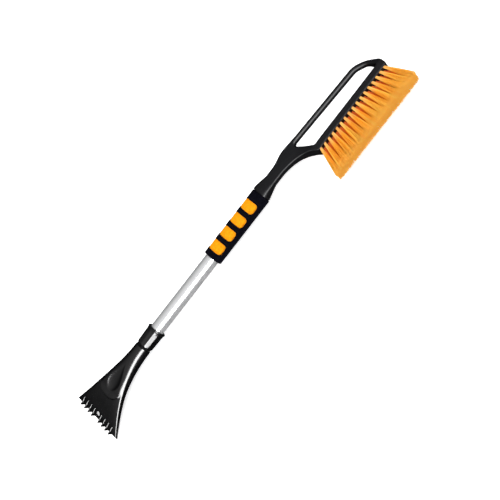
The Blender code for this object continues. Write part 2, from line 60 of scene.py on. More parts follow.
# ---------------------------------------------------------------- drawing tools

def span(node):
    """Lowest and highest corner of a CAD node, in the shaft's millimetres."""
    low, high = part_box(node)
    return (low - SHAFT_ZERO) / MM, (high - SHAFT_ZERO) / MM


def to_mesh(name, bm):
    """Store a bmesh as a mesh and free it."""
    mesh = bpy.data.meshes.new(name)
    bm.to_mesh(mesh)
    bm.free()
    return mesh


def pour(bm, into):
    """Add one bmesh's geometry to another one and free it."""
    mesh = to_mesh("poured", bm)
    into.from_mesh(mesh)
    bpy.data.meshes.remove(mesh)


def link_object(name, data):
    obj = bpy.data.objects.new(name, data)
    bpy.context.scene.collection.objects.link(obj)
    return obj


def place(name, bm, weld=True):
    """Give a bmesh drawn in millimetres its object, in metres and in its place in the frame."""
    bmesh.ops.transform(bm, matrix=Matrix.Translation(SHAFT_ZERO) @ Matrix.Scale(MM, 4), verts=bm.verts)
    if weld:
        bmesh.ops.remove_doubles(bm, verts=bm.verts, dist=WELD)
        bmesh.ops.recalc_face_normals(bm, faces=bm.faces)
    return link_object(name, to_mesh(name, bm))


def finish_piece(obj, material, body, nodes, sharp_deg=35.0):
    obj.data.materials.clear()
    obj.data.materials.append(material)
    obj.data.shade_smooth()
    obj.data.set_sharp_from_angle(angle=math.radians(sharp_deg))
    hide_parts(*nodes)
    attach(obj, body)


def combine(target, tool, operation):
    """Join the tool to the target, or cut it out, and throw the tool away."""
    change = target.modifiers.new(operation.title(), "BOOLEAN")
    change.operation = operation
    change.solver = "EXACT"
    change.object = tool
    graph = bpy.context.evaluated_depsgraph_get()
    graph.update()
    made = bpy.data.meshes.new_from_object(target.evaluated_get(graph))
    target.modifiers.remove(change)
    old = target.data
    target.data = made
    bpy.data.meshes.remove(old)
    bpy.data.objects.remove(tool, do_unlink=True)


def extrude_loop(bm, loop):
    """Extrude a closed loop of edges; give back its new vertices and its new edges."""
    made = bmesh.ops.extrude_edge_only(bm, edges=loop)["geom"]
    verts = [part for part in made if isinstance(part, bmesh.types.BMVert)]
    fresh = set(verts)
    edges = [part for part in made if isinstance(part, bmesh.types.BMEdge) and fresh.issuperset(part.verts)]
    return verts, edges


def draw_rings(rings, capped=True):
    """Draw one ring of vertices through a row of rings, each extruded from the one before it."""
    bm = bmesh.new()
    turn = bm.verts.layers.int.new("turn")
    verts = bmesh.ops.create_circle(bm, segments=len(rings[0]), radius=1.0)["verts"]
    for k, vert in enumerate(verts):
        vert[turn] = k
    loop = list(bm.edges)
    first = loop
    for number, ring in enumerate(rings):
        if number:
            verts, loop = extrude_loop(bm, loop)
        for vert in verts:
            vert.co = ring[vert[turn]]
    if capped:
        bmesh.ops.edgeloop_fill(bm, edges=first)
        bmesh.ops.edgeloop_fill(bm, edges=loop)
    return bm


def spin_profile(profile, steps, closed=True):
    """Spin a profile of (x, radius) points once round the shaft's axis."""
    bm = bmesh.new()
    verts = [bm.verts.new((x, 0.0, radius)) for x, radius in profile]
    ends = zip(verts, verts[1:] + verts[:1]) if closed else zip(verts, verts[1:])
    edges = [bm.edges.new(pair) for pair in ends]
    bmesh.ops.spin(bm, geom=verts + edges, cent=(0, 0, 0), axis=(1, 0, 0), angle=2.0 * math.pi, steps=steps,
                   use_merge=True)
    return bm


def rod(radius, start, end, segments=48):
    """A round rod between two points."""
    start, end = Vector(start), Vector(end)
    along = end - start
    bm = bmesh.new()
    bmesh.ops.create_cone(bm, cap_ends=True, segments=segments, radius1=radius, radius2=radius,
                          depth=along.length)
    turn = Vector((0, 0, 1)).rotation_difference(along).to_matrix()
    bmesh.ops.rotate(bm, cent=(0, 0, 0), matrix=turn, verts=bm.verts)
    bmesh.ops.translate(bm, vec=(start + end) / 2.0, verts=bm.verts)
    return bm


def rounded(low, high, value):
    """A smooth step from 0 at low to 1 at high."""
    share = min(max((value - low) / (high - low), 0.0), 1.0)
    return share * share * (3.0 - 2.0 * share)


def between(table, distance):
    """Values of a table whose rows start with a distance, blended smoothly between its rows."""
    if distance <= table[0][0]:
        return table[0][1:]
    for k in range(len(table) - 1):
        if distance <= table[k + 1][0]:
            break
    before, here = table[max(k - 1, 0)], table[k]
    after, beyond = table[k + 1], table[min(k + 2, len(table) - 1)]
    share = min((distance - here[0]) / (after[0] - here[0]), 1.0)
    found = []
    for a, b, c, d in zip(before[1:], here[1:], after[1:], beyond[1:]):
        width = after[0] - here[0]
        slope_in = (c - a) / (after[0] - before[0]) * width if k else c - b
        slope_out = (d - b) / (beyond[0] - here[0]) * width if beyond is not after else c - b
        s2, s3 = share * share, share ** 3
        found.append((2 * s3 - 3 * s2 + 1) * b + (s3 - 2 * s2 + share) * slope_in
                     + (3 * s2 - 2 * s3) * c + (s3 - s2) * slope_out)
    return found


def signed_power(value, power):
    return math.copysign(abs(value) ** power, value)


def oval_ring(x, count, half_y, half_z, power=2.0, mid_y=0.0):
    """A superellipse section of the shaft at x."""
    ring = []
    for k in range(count):
        angle = 2.0 * math.pi * (k + 0.5) / count
        across = mid_y + half_y * signed_power(math.cos(angle), 2.0 / power)
        ring.append(Vector((x, across, half_z * signed_power(math.sin(angle), 2.0 / power))))
    return ring


# ---------------------------------------------------------------- materials

def srgb(code):
    """A hex colour such as '#ff9a1a' as linear RGBA."""
    found = []
    for k in (1, 3, 5):
        value = int(code[k:k + 2], 16) / 255.0
        found.append(value / 12.92 if value <= 0.04045 else ((value + 0.055) / 1.055) ** 2.4)
    return (*found, 1.0)


def add_node(tree, kind, values=None, links=None, **settings):
    """Add one node: settings are its own choices, values its sockets' numbers, links what feeds them."""
    made = tree.nodes.new(kind)
    for key, value in settings.items():
        setattr(made, key, value)
    for socket, value in (values or {}).items():
        made.inputs[socket].default_value = value
    for socket, source in (links or {}).items():
        tree.links.new(source, made.inputs[socket])
    return made


def new_material(name, colour, roughness, metallic=0.0, ior=1.5, specular=0.5):
    """A material with its Principled shader; patterns are added to its tree afterwards."""
    mat = bpy.data.materials.new(name)
    mat.use_nodes = True
    tree = mat.node_tree
    shader = tree.nodes["Principled BSDF"]
    shader.inputs["Base Color"].default_value = srgb(colour)
    shader.inputs["Roughness"].default_value = roughness
    shader.inputs["Metallic"].default_value = metallic
    shader.inputs["IOR"].default_value = ior
    shader.inputs["Specular IOR Level"].default_value = specular
    return mat, tree, shader


def object_grain(tree, size_mm, detail=2.0, stretch=(1.0, 1.0, 1.0)):
    """Noise on the piece's own coordinates, whose blobs are about size_mm across."""
    place_on = add_node(tree, "ShaderNodeTexCoord")
    scaled = add_node(tree, "ShaderNodeMapping", {"Scale": tuple(1.0 / s for s in stretch)},
                      {"Vector": place_on.outputs["Object"]})
    return add_node(tree, "ShaderNodeTexNoise", {"Scale": 1.0 / (size_mm * MM), "Detail": detail},
                    {"Vector": scaled.outputs["Vector"]})


def tint(tree, shader, fac, dark, light, low=0.3, high=0.7):
    """Blend the base colour between two hex colours by a pattern's strength."""
    level = add_node(tree, "ShaderNodeMapRange", {"From Min": low, "From Max": high}, {"Value": fac})
    mix = add_node(tree, "ShaderNodeMix", {"A": srgb(dark), "B": srgb(light)},
                   {"Factor": level.outputs["Result"]}, data_type="RGBA")
    tree.links.new(mix.outputs["Result"], shader.inputs["Base Color"])


def roughen(tree, shader, fac, low, high):
    """Let the roughness wander between two values with a pattern."""
    level = add_node(tree, "ShaderNodeMapRange", {"To Min": low, "To Max": high}, {"Value": fac})
    tree.links.new(level.outputs["Result"], shader.inputs["Roughness"])


def emboss(tree, shader, height, depth_mm):
    """Raise a pattern by depth_mm on the surface."""
    bump = add_node(tree, "ShaderNodeBump", {"Strength": 1.0, "Distance": depth_mm * MM}, {"Height": height})
    tree.links.new(bump.outputs["Normal"], shader.inputs["Normal"])


def polished_abs_black():
    """ABS moulded in a polished tool: deep black, sharp reflections, a faint flow ripple under the gloss."""
    mat, tree, shader = new_material("polished_abs_black", "#08080a", 0.16, ior=1.54, specular=0.45)
    ripple = object_grain(tree, 9.0, 2.0, (2.0, 1.0, 1.0))
    tint(tree, shader, ripple.outputs["Fac"], "#060607", "#0b0b0c")
    roughen(tree, shader, ripple.outputs["Fac"], 0.18, 0.26)
    emboss(tree, shader, ripple.outputs["Fac"], 0.05)
    return mat


def grained_polypropylene_black():
    """Polypropylene moulded in a spark-eroded tool: dark grey black, softly dulled by a fine grain."""
    mat, tree, shader = new_material("grained_polypropylene_black", "#0a0a0c", 0.44, ior=1.49, specular=0.17)
    grain = object_grain(tree, 0.9, 3.0)
    tint(tree, shader, grain.outputs["Fac"], "#070709", "#111114")
    roughen(tree, shader, grain.outputs["Fac"], 0.38, 0.50)
    emboss(tree, shader, grain.outputs["Fac"], 0.06)
    return mat


def closed_cell_foam(name, dark, light):
    """EVA closed-cell foam: dull and soft, with tiny burst cells that mottle its colour."""
    mat, tree, shader = new_material(name, light, 0.9, ior=1.45, specular=0.0)
    place_on = add_node(tree, "ShaderNodeTexCoord")
    cells = add_node(tree, "ShaderNodeTexVoronoi", {"Scale": 1.0 / (0.8 * MM)},
                     {"Vector": place_on.outputs["Object"]})
    mottle = object_grain(tree, 3.0, 4.0)
    level = add_node(tree, "ShaderNodeMath", {1: 0.5}, {0: cells.outputs["Distance"]}, operation="MULTIPLY")
    both = add_node(tree, "ShaderNodeMath", None, {0: level.outputs["Value"], 1: mottle.outputs["Fac"]},
                    operation="ADD")
    tint(tree, shader, both.outputs["Value"], dark, light, 0.4, 0.95)
    emboss(tree, shader, cells.outputs["Distance"], 0.12)
    return mat


def satin_anodised_aluminium():
    """Drawn aluminium tube, anodised satin: milky silver, dulled by hairlines along its length."""
    mat, tree, shader = new_material("satin_anodised_aluminium", "#dcdee0", 0.2, metallic=0.6)
    lines = object_grain(tree, 0.5, 3.0, (60.0, 1.0, 1.0))
    tint(tree, shader, lines.outputs["Fac"], "#cfd0d2", "#e2e2e2")
    roughen(tree, shader, lines.outputs["Fac"], 0.14, 0.24)
    emboss(tree, shader, lines.outputs["Fac"], 0.01)
    return mat


def pet_filament_orange():
    """PET filaments: clear orange, pale where a tuft is tight, yellow at the tips; the red towards the roots
    of the rows that lie in shade is painted shade.
    """
    mat, tree, shader = new_material("pet_filament_orange", "#ff9c28", 0.5, ior=1.57, specular=0.04)
    strand = add_node(tree, "ShaderNodeAttribute", attribute_name="strand")
    along = add_node(tree, "ShaderNodeAttribute", attribute_name="along")
    inner = add_node(tree, "ShaderNodeAttribute", attribute_name="inner")
    own = add_node(tree, "ShaderNodeMix", {"A": srgb("#ff9a20"), "B": srgb("#ffc850")},
                   {"Factor": strand.outputs["Fac"]}, data_type="RGBA")
    root = add_node(tree, "ShaderNodeMapRange",
                    {"From Min": 0.0, "From Max": 0.35, "To Min": 0.6, "To Max": 0.0},
                    {"Value": along.outputs["Fac"]})
    pale = add_node(tree, "ShaderNodeMix", {"B": srgb("#ffd690")},
                    {"Factor": root.outputs["Result"], "A": own.outputs["Result"]}, data_type="RGBA")
    # painted shade: the 'inner' attribute turns the filaments red where shade falls between the rows near the
    # roots
    deep = add_node(tree, "ShaderNodeMix", {"B": srgb("#fa4c08")},
                    {"Factor": inner.outputs["Fac"], "A": pale.outputs["Result"]}, data_type="RGBA")
    tips = add_node(tree, "ShaderNodeMapRange", {"From Min": 0.6, "From Max": 1.0, "To Max": 0.5},
                    {"Value": along.outputs["Fac"]}, interpolation_type="SMOOTHSTEP")
    cut = add_node(tree, "ShaderNodeMix", {"B": srgb("#ffcc58")},
                   {"Factor": tips.outputs["Result"], "A": deep.outputs["Result"]}, data_type="RGBA")
    tree.links.new(cut.outputs["Result"], shader.inputs["Base Color"])
    return mat


def glass_filled_nylon_black():
    """Nylon with glass fibre: dull black, slightly chalky where it was moulded."""
    mat, tree, shader = new_material("glass_filled_nylon_black", "#0c0c0d", 0.6, ior=1.53, specular=0.02)
    chalk = object_grain(tree, 1.2, 3.0)
    tint(tree, shader, chalk.outputs["Fac"], "#090909", "#101011")
    emboss(tree, shader, chalk.outputs["Fac"], 0.04)
    return mat


def zinc_plated_steel():
    """Drawn steel wire, zinc plated: cool grey with a faint crystalline mottle."""
    mat, tree, shader = new_material("zinc_plated_steel", "#b9bcbf", 0.34, metallic=1.0)
    crystals = object_grain(tree, 0.7, 2.0)
    tint(tree, shader, crystals.outputs["Fac"], "#a4a8ac", "#c9cccf")
    roughen(tree, shader, crystals.outputs["Fac"], 0.26, 0.42)
    return mat


ABS_BLACK = polished_abs_black()
PP_BLACK = grained_polypropylene_black()
FOAM_BLACK = closed_cell_foam("eva_foam_black", "#06060a", "#0f0f16")
FOAM_ORANGE = closed_cell_foam("eva_foam_orange", "#e87c0c", "#f5a018")
ALUMINIUM = satin_anodised_aluminium()
FILAMENT = pet_filament_orange()
NYLON = glass_filled_nylon_black()
STEEL = zinc_plated_steel()


# ---------------------------------------------------------------- shaft and grip

TUBE_WALL = 1.0


def make_tube():
    low, high = span("shaft_tube")
    outer, soft = high.y, 0.2
    profile = [(low.x, outer - TUBE_WALL), (low.x, outer - soft), (low.x + soft, outer),
               (high.x - soft, outer), (high.x, outer - soft), (high.x, outer - TUBE_WALL)]
    tube = place("aluminium_tube", spin_profile(profile, 128))
    finish_piece(tube, ALUMINIUM, "shaft", ["shaft_tube"])


GRIP_LOW, GRIP_HIGH = span("grip_cover")
GRIP_R = GRIP_HIGH.y
SLEEVE_BORE = 11.3
COVER_WALL = 1.2
WINDOW_COUNT = 4
WINDOW_PITCH = 25.2
WINDOW_FIRST = GRIP_LOW.x + 18.7
WINDOW_LENGTH = 17.0
WINDOW_CENTRE = math.radians(10.0)       # from +z towards +y
WINDOW_ARC = math.radians(70.0) * GRIP_R  # half of the window's reach round the grip
WINDOW_CORNER = 5.5


def window_tool(centre_x):
    """A curved block with round corners, the shape of one window."""
    steps = 9
    bends = [WINDOW_ARC - WINDOW_CORNER * (1 - math.sin(math.pi / 2 * k / steps)) for k in range(steps + 1)]
    middle = [WINDOW_ARC * k / 8 for k in range(-4, 5)]
    rings = []
    for stop in sorted([-s for s in bends] + middle + bends):
        past = max(0.0, abs(stop) - (WINDOW_ARC - WINDOW_CORNER))
        half = WINDOW_LENGTH / 2 - WINDOW_CORNER + math.sqrt(max(WINDOW_CORNER ** 2 - past ** 2, 0.02))
        angle = WINDOW_CENTRE + stop / GRIP_R
        out = Vector((0.0, math.sin(angle), math.cos(angle)))
        inner, outer = out * (GRIP_R - COVER_WALL - 1.0), out * (GRIP_R + 2.0)
        left, right = Vector((centre_x - half, 0, 0)), Vector((centre_x + half, 0, 0))
        rings.append([left + inner, right + inner, right + outer, left + outer])
    return place("window_tool", draw_rings(rings))


def make_grip_cover():
    bore, end_wall, soft = SLEEVE_BORE, 2.4, 1.6
    inner = GRIP_R - COVER_WALL
    start, end = GRIP_LOW.x, GRIP_HIGH.x
    bend = [math.pi / 2 * k / 5 for k in range(6)]
    profile = [(start, bore)]
    profile += [(start + soft - soft * math.cos(a), GRIP_R - soft + soft * math.sin(a)) for a in bend]
    profile += [(end - soft + soft * math.sin(a), GRIP_R - soft + soft * math.cos(a)) for a in bend]
    profile += [(end, bore), (end - end_wall, bore), (end - end_wall, inner), (start + end_wall, inner),
                (start + end_wall, bore)]
    cover = place("foam_grip_cover", spin_profile(profile, 120))
    for k in range(WINDOW_COUNT):
        combine(cover, window_tool(WINDOW_FIRST + k * WINDOW_PITCH), "DIFFERENCE")
    finish_piece(cover, FOAM_BLACK, "shaft", ["grip_cover"], 50.0)
    soften = cover.modifiers.new("Soft edges", "BEVEL")
    soften.width = 0.4 * MM
    soften.segments = 2
    soften.limit_method = "ANGLE"
    soften.angle_limit = math.radians(55.0)


def make_grip_core():
    """The orange sleeve, which swells a little into each window."""
    low, high = span("grip_core")
    radius, bore, swell = high.y, SLEEVE_BORE, 1.0
    stops = [low.x + (high.x - low.x) * k / 110 for k in range(111)]
    count = 144

    def ring_at(x, base):
        ring = []
        for k in range(count):
            angle = 2.0 * math.pi * k / count
            nearest = min(abs(x - WINDOW_FIRST - n * WINDOW_PITCH) for n in range(WINDOW_COUNT))
            turn = (angle - WINDOW_CENTRE + math.pi) % (2.0 * math.pi) - math.pi
            in_length = rounded(WINDOW_LENGTH / 2 - 0.6, WINDOW_LENGTH / 2 - 4.0, nearest)
            in_arc = rounded(WINDOW_ARC - 0.8, WINDOW_ARC - 4.5, abs(turn) * GRIP_R)
            r = base + (swell * in_length * in_arc if base > bore else 0.0)
            ring.append(Vector((x, r * math.sin(angle), r * math.cos(angle))))
        return ring

    rings = [ring_at(low.x, bore)] + [ring_at(x, radius) for x in stops]
    rings += [ring_at(high.x, bore), ring_at(low.x, bore)]
    core = place("foam_grip_core", draw_rings(rings, capped=False))
    finish_piece(core, FOAM_ORANGE, "shaft", ["grip_core"], 50.0)


# ---------------------------------------------------------------- twist lock

def make_collar():
    """The collar: twelve soft flats round its body and a rolled lip at the tube's end."""
    low, high = span("lock_collar")
    start, end = low.x, high.x
    lip = high.y
    bore = 11.38
    flats = 12
    half_flat = math.pi / flats
    # x, radius, and how flat the twelve sides are there
    body = [(start, 12.2 - 0.5, 0.0), (start + 0.15, 12.0, 0.0), (start + 0.6, 12.35, 0.0),
            (start + 1.9, 12.95, 0.0), (start + 2.8, 13.15, 0.5), (start + 3.8, 13.25, 1.0)]
    body += [(start + 3.8 + k * 4.0, 13.25 + 0.113 * k, 1.0) for k in range(1, 6)]
    body += [(end - 6.6, 13.88, 1.0), (end - 6.0, 13.95, 0.7), (end - 5.2, 14.0, 0.3), (end - 3.4, 14.0, 0.0),
             (end - 1.9, lip - 0.1, 0.0), (end - 1.5, lip, 0.0), (end - 1.1, lip - 0.1, 0.0),
             (end - 0.1, lip - 1.1, 0.0), (end, lip - 1.5, 0.0)]
    count = 240

    def ring_at(x, radius, flat):
        ring = []
        for k in range(count):
            angle = 2.0 * math.pi * k / count
            off = (angle % (2.0 * half_flat)) - half_flat
            cut = radius * math.cos(half_flat) / math.cos(off)
            soft = min(cut, radius - 0.1)
            r = radius + (soft - radius) * flat
            ring.append(Vector((x, r * math.sin(angle), r * math.cos(angle))))
        return ring

    rings = [ring_at(start, bore, 0.0)] + [ring_at(*row) for row in body] + [ring_at(end, bore, 0.0)]
    rings.append(rings[0])
    collar = place("twist_collar", draw_rings(rings, capped=False))
    finish_piece(collar, ABS_BLACK, "collar", ["lock_collar"], 40.0)


# ---------------------------------------------------------------- scraper head

HEAD_HIGH = span("scraper_head")[1]
NECK_FACE = HEAD_HIGH.x
HEAD_LENGTH = 134.6
NECK_R = 12.8
BLADE_HALF_WIDTH = HEAD_HIGH.y
SIDE_WALL = 4.5
BLADE_WALL = 3.2
LIP_LEAN = 0.27
STEP_RADIUS = 31.0
STEP_AT = 94.9                           # distance of the step's foremost point from the neck face
STEP_RAMP = 2.2                          # length of the step's slope
PAD_LIFT = 1.0                           # the pad's height over the blade's own surface
LIP_LIFT = 1.8                           # how much more the pad rises just before the step
THUMB_FROM, THUMB_TO = 33.0, 84.0
THUMB_HALF, THUMB_DEEP = 13.0, 4.3       # the thumb rest's half width and depth
SOCKET_R, SOCKET_DEPTH = 7.7, 26.7       # the stub's socket in the neck
TOOTH_FIRST, TOOTH_PITCH = 8.3, 8.9      # y of the innermost teeth, and the way from tooth to tooth
TOOTH_THICK = 2.0
BLADE_HOLE_X, BLADE_HOLE_R = -342.8, 4.2
PIN_X, PIN_R = -228.0, 1.8
# distance from the neck face, top, bottom, roundness of the upper and of the lower half
HEAD_ROWS = (
    (0.0, 12.8, -12.8, 2.0, 2.0),
    (14.0, 12.8, -12.8, 2.0, 2.0),
    (28.0, 12.3, -12.3, 2.1, 2.1),
    (42.0, 11.3, -11.6, 2.3, 2.3),
    (56.0, 9.7, -10.8, 2.7, 2.7),
    (68.0, 7.4, -10.3, 3.0, 3.2),
    (78.0, 4.8, -10.6, 3.4, 4.0),
    (88.0, 1.9, -11.9, 3.8, 5.0),
    (100.0, -2.2, -14.4, 4.2, 6.0),
    (112.0, -6.8, -17.8, 4.6, 7.0),
    (124.0, -11.8, -21.8, 5.0, 8.0),
    (HEAD_LENGTH, -16.9, -26.0, 5.4, 9.0),
)
OUTER_COUNT = 132                        # points of a section on the outside, from rim to rim
INNER_COUNT = 60                         # points along the underside between the rims


def head_half_width(distance):
    return NECK_R + (BLADE_HALF_WIDTH - NECK_R) * (max(distance, 0.0) / HEAD_LENGTH) ** 1.9


def top_of(distance):
    return between(HEAD_ROWS, distance)[0]


def thumb_scoop(distance, y):
    """Depth of the thumb rest below the crown at one point."""
    share = (distance - THUMB_FROM) / (THUMB_TO - THUMB_FROM)
    if not 0.0 < share < 1.0:
        return 0.0
    swell = math.sin(math.pi * share ** 1.7) ** 0.75
    half, deep = max(THUMB_HALF * swell, 0.35), max(THUMB_DEEP * swell, 0.12)
    radius = (half ** 2 + deep ** 2) / (2 * deep)
    if abs(y) >= radius:
        return 0.0
    return deep - radius + math.sqrt(radius ** 2 - y ** 2)


def outer_point(distance, share, grow=0.0):
    """A point of the head's outside: share runs from 0 at one rim over the top to 1 at the other rim."""
    top, bottom, power_top, power_bottom = between(HEAD_ROWS, distance)
    top, bottom, half = top - grow, bottom + grow, head_half_width(distance) - grow
    widest = (top + bottom) / 2 - 0.12 * (top - bottom) * (power_bottom - 2.0) / 7.0
    rim = max(half - SIDE_WALL, 0.5) / half
    below = math.acos(rim ** (power_bottom / 2.0))
    angle = -below + (math.pi + 2.0 * below) * share
    c, s = math.cos(angle), math.sin(angle)
    power = power_top if s > 0.0 else power_bottom
    y = half * signed_power(c, 2.0 / power)
    z = widest + (top - widest if s > 0.0 else widest - bottom) * signed_power(s, 2.0 / power)
    return y, z


def pad_lift(distance):
    """Height of the thumb rest's pad over the blade's own surface."""
    return PAD_LIFT * rounded(46.0, 76.0, distance) + LIP_LIFT * rounded(80.0, 93.0, distance)


def step_bulge(y):
    """How far the round step falls back towards the shaft away from its middle."""
    y = min(abs(y), 27.5)
    return math.sqrt(STEP_RADIUS ** 2 - y ** 2) - STEP_RADIUS


def head_ring(distance, open_depth, lifted, grow=0.0):
    """One closed section: outside from rim to rim, then back along the underside or the hollow's roof."""
    bend = rounded(60.0, STEP_AT, distance) * (1.0 - rounded(STEP_AT, 122.0, distance))
    lean = LIP_LEAN * rounded(112.0, HEAD_LENGTH, distance)
    top = top_of(distance)
    ring = []
    for k in range(OUTER_COUNT):
        share = k / (OUTER_COUNT - 1)
        y, z = outer_point(distance, share, grow)
        here = distance + bend * step_bulge(y)
        y, z = outer_point(here, share, grow)
        crown = top_of(here)
        if lifted:
            side = head_half_width(here) - 3.0
            z += pad_lift(here) * rounded(side + 0.5, side - 5.0, abs(y)) * (z > crown - 6.0)
        floor = crown + pad_lift(here) - thumb_scoop(here, y)
        if thumb_scoop(here, y) > 0.0 and z > floor - 0.4:
            gap = z - floor
            z = floor if gap > 0.4 else floor + gap - (gap + 0.4) ** 2 / 1.6
        ring.append(Vector((NECK_FACE - here - lean * (top - z), y, z)))
    start = ring[-1]
    for k in range(1, INNER_COUNT + 1):
        angle = math.pi * k / (INNER_COUNT + 1)
        c, s = math.cos(angle), math.sin(angle)
        y = start.y * signed_power(c, 0.4)
        here = distance + bend * step_bulge(y)
        half = head_half_width(here) - grow
        top, bottom, power_top, power_bottom = between(HEAD_ROWS, here)
        bottom += grow
        widest = (top - grow + bottom) / 2 - 0.12 * (top - grow - bottom) * (power_bottom - 2.0) / 7.0
        drop = (1.0 - min(abs(y) / half, 1.0) ** power_bottom) ** (1.0 / power_bottom)
        z = widest - (widest - bottom) * drop
        roof = top_of(here) - BLADE_WALL - max(0.0, 86.0 - here) * 0.4
        z += max(roof - z, 0.0) * open_depth * signed_power(s, 0.4)
        ring.append(Vector((NECK_FACE - here - lean * (top - z), y, z)))
    return ring


def head_shell():
    """Neck, handle and blade in one skin, hollow under the blade, with the stub's socket in its neck."""
    neck = head_ring(0.9, 0.0, True)
    rings = []
    for depth, radius in ((SOCKET_DEPTH, SOCKET_R), (0.5, SOCKET_R), (0.0, SOCKET_R + 0.5),
                          (0.0, NECK_R - 0.9), (0.12, NECK_R - 0.45), (0.45, NECK_R - 0.12)):
        rings.append([Vector((NECK_FACE - depth, *(Vector((p.y, p.z)).normalized() * radius))) for p in neck])
    distance = 0.9
    while distance < 65.0:
        rings.append(head_ring(distance, 0.0, True))
        distance += 1.6
    for distance, depth in ((65.2, 0.0), (65.6, 0.35), (66.2, 0.8), (67.0, 1.0)):
        rings.append(head_ring(distance, depth, True))
    steps = 24
    for k in range(1, steps + 1):
        rings.append(head_ring(67.0 + (STEP_AT - STEP_RAMP - 67.0) * k / steps, 1.0, True))
    for k in range(0, 26):
        rings.append(head_ring(STEP_AT + (129.4 - STEP_AT) * k / 25, 1.0, False))
    for distance, depth in ((129.9, 0.9), (130.3, 0.6), (130.5, 0.0), (132.0, 0.0), (133.4, 0.0),
                            (134.1, 0.0)):
        rings.append(head_ring(distance, depth, False))
    rings.append(head_ring(134.42, 0.0, False, 0.12))
    rings.append(head_ring(HEAD_LENGTH, 0.0, False, 0.45))
    return draw_rings(rings)


def chipping_teeth():
    """Eight ribs that run out past the blade's edge as short teeth, with softened edges."""
    edge = NECK_FACE - HEAD_LENGTH
    plate = top_of(HEAD_LENGTH)
    back, ramp = top_of(HEAD_LENGTH - 11.5), top_of(HEAD_LENGTH - 9.5)
    profile = ((edge + 11.5, back - 0.8), (edge + 9.5, ramp + 1.8), (edge, plate + 2.6),
               (edge - 4.4, plate + 2.0), (edge - 4.2, plate + 0.6), (edge - 2.8, plate - 8.0),
               (edge - 1.0, plate - 8.0), (edge + 2.0, plate - 1.6))
    teeth = bmesh.new()
    for k in range(4):
        for side in (-1, 1):
            mid_y = side * (TOOTH_FIRST + TOOTH_PITCH * k)
            rib = bmesh.new()
            face = rib.faces.new([rib.verts.new((x, mid_y - TOOTH_THICK / 2, z)) for x, z in profile])
            pulled = bmesh.ops.extrude_face_region(rib, geom=[face])["geom"]
            fresh = [part for part in pulled if isinstance(part, bmesh.types.BMVert)]
            bmesh.ops.translate(rib, vec=(0.0, TOOTH_THICK, 0.0), verts=fresh)
            bmesh.ops.recalc_face_normals(rib, faces=rib.faces)
            bmesh.ops.bevel(rib, geom=list(rib.edges), offset=0.6, segments=1, profile=0.5, affect="EDGES")
            pour(rib, teeth)
    return teeth


def make_scraper_head():
    head = place("scraper_blade", head_shell())
    combine(head, place("teeth_tool", chipping_teeth()), "UNION")
    hole = rod(BLADE_HOLE_R, (BLADE_HOLE_X, 0, -40), (BLADE_HOLE_X, 0, 10))
    combine(head, place("hole_tool", hole), "DIFFERENCE")
    pin_hole = rod(PIN_R, (PIN_X, 0, -NECK_R - 3), (PIN_X, 0, -2))
    combine(head, place("pin_tool", pin_hole), "DIFFERENCE")
    finish_piece(head, ABS_BLACK, "scraper", ["scraper_head"], 38.0)


# ---------------------------------------------------------------- brush frame

BAR_FRONT_Y = -35.5
BAR_BACK_Y = -24.6
BAR_FINISH = span("brush_frame")[1].x
BAR_HALF = 12.5
PLATE_HALF = 5.4
# x, y and corner radius of the frame's outline, and of its hand opening
OUTER_CORNERS = (
    (97.0, -7.3, 0.0), (97.0, 11.3, 0.0), (121.0, 11.3, 60.0), (140.0, 16.1, 50.0), (305.0, 10.3, 36.0),
    (324.3, -2.4, 30.0), (BAR_FINISH, -21.0, 24.0), (BAR_FINISH, BAR_FRONT_Y, 4.0), (177.0, BAR_FRONT_Y, 6.5),
    (170.0, -24.5, 40.0), (149.0, -12.5, 70.0), (125.0, -7.4, 90.0),
)
INNER_CORNERS = (
    (158.9, 7.5, 4.0), (301.0, 1.5, 22.0), (318.5, -7.5, 18.0), (327.5, BAR_BACK_Y, 3.0),
    (180.3, BAR_BACK_Y, 5.0),
)


OUTLINE_STEP_DEG = 5.0
OUTLINE_LONGEST = 6.0


def rounded_outline(corners):
    """Points of a polygon whose corners (x, y, radius) are arcs and whose long sides are divided."""
    points = []
    for k, (x, y, radius) in enumerate(corners):
        here = Vector((x, y))
        if radius == 0.0:
            points.append(here)
            continue
        before = Vector(corners[k - 1][:2]) - here
        after = Vector(corners[(k + 1) % len(corners)][:2]) - here
        opening = before.angle(after)
        reach = radius / math.tan(opening / 2)
        start = here + before.normalized() * reach
        inward = (before.normalized() + after.normalized()).normalized()
        centre = here + inward * radius / math.sin(opening / 2)
        end = here + after.normalized() * reach
        turn = math.pi - opening
        steps = max(3, math.ceil(math.degrees(turn) / OUTLINE_STEP_DEG))
        way = 1.0 if (start - centre).cross(end - centre) > 0 else -1.0
        for n in range(steps + 1):
            spin = Matrix.Rotation(way * turn * n / steps, 2)
            points.append(centre + spin @ (start - centre))
    divided = []
    for here, following in zip(points, points[1:] + points[:1]):
        parts = max(1, math.ceil((following - here).length / OUTLINE_LONGEST))
        divided += [here.lerp(following, n / parts) for n in range(parts)]
    return divided


def plate_half(x, y):
    """Half thickness of the frame, which swells from the loop handle to the bar."""
    share = min(max((-y - 6.0) / 18.0, 0.0), 1.0)
    near_fork = min(max((191.0 - x) / 14.0, 0.0), 1.0)
    return PLATE_HALF + (BAR_HALF - PLATE_HALF) * share ** 1.25 * (1.0 - 0.22 * near_fork)


def edge_round(x, y):
    """Radius of the long edges: soft on the fork, nearly round on the loop handle, tight on the bar."""
    loop = min(max((x - 150.0) / 25.0, 0.0), 1.0) * min(max((y + 12.0) / 12.0, 0.0), 1.0)
    bar = rounded(-14.0, -24.0, y)
    return 2.0 + 2.4 * loop - 1.1 * bar


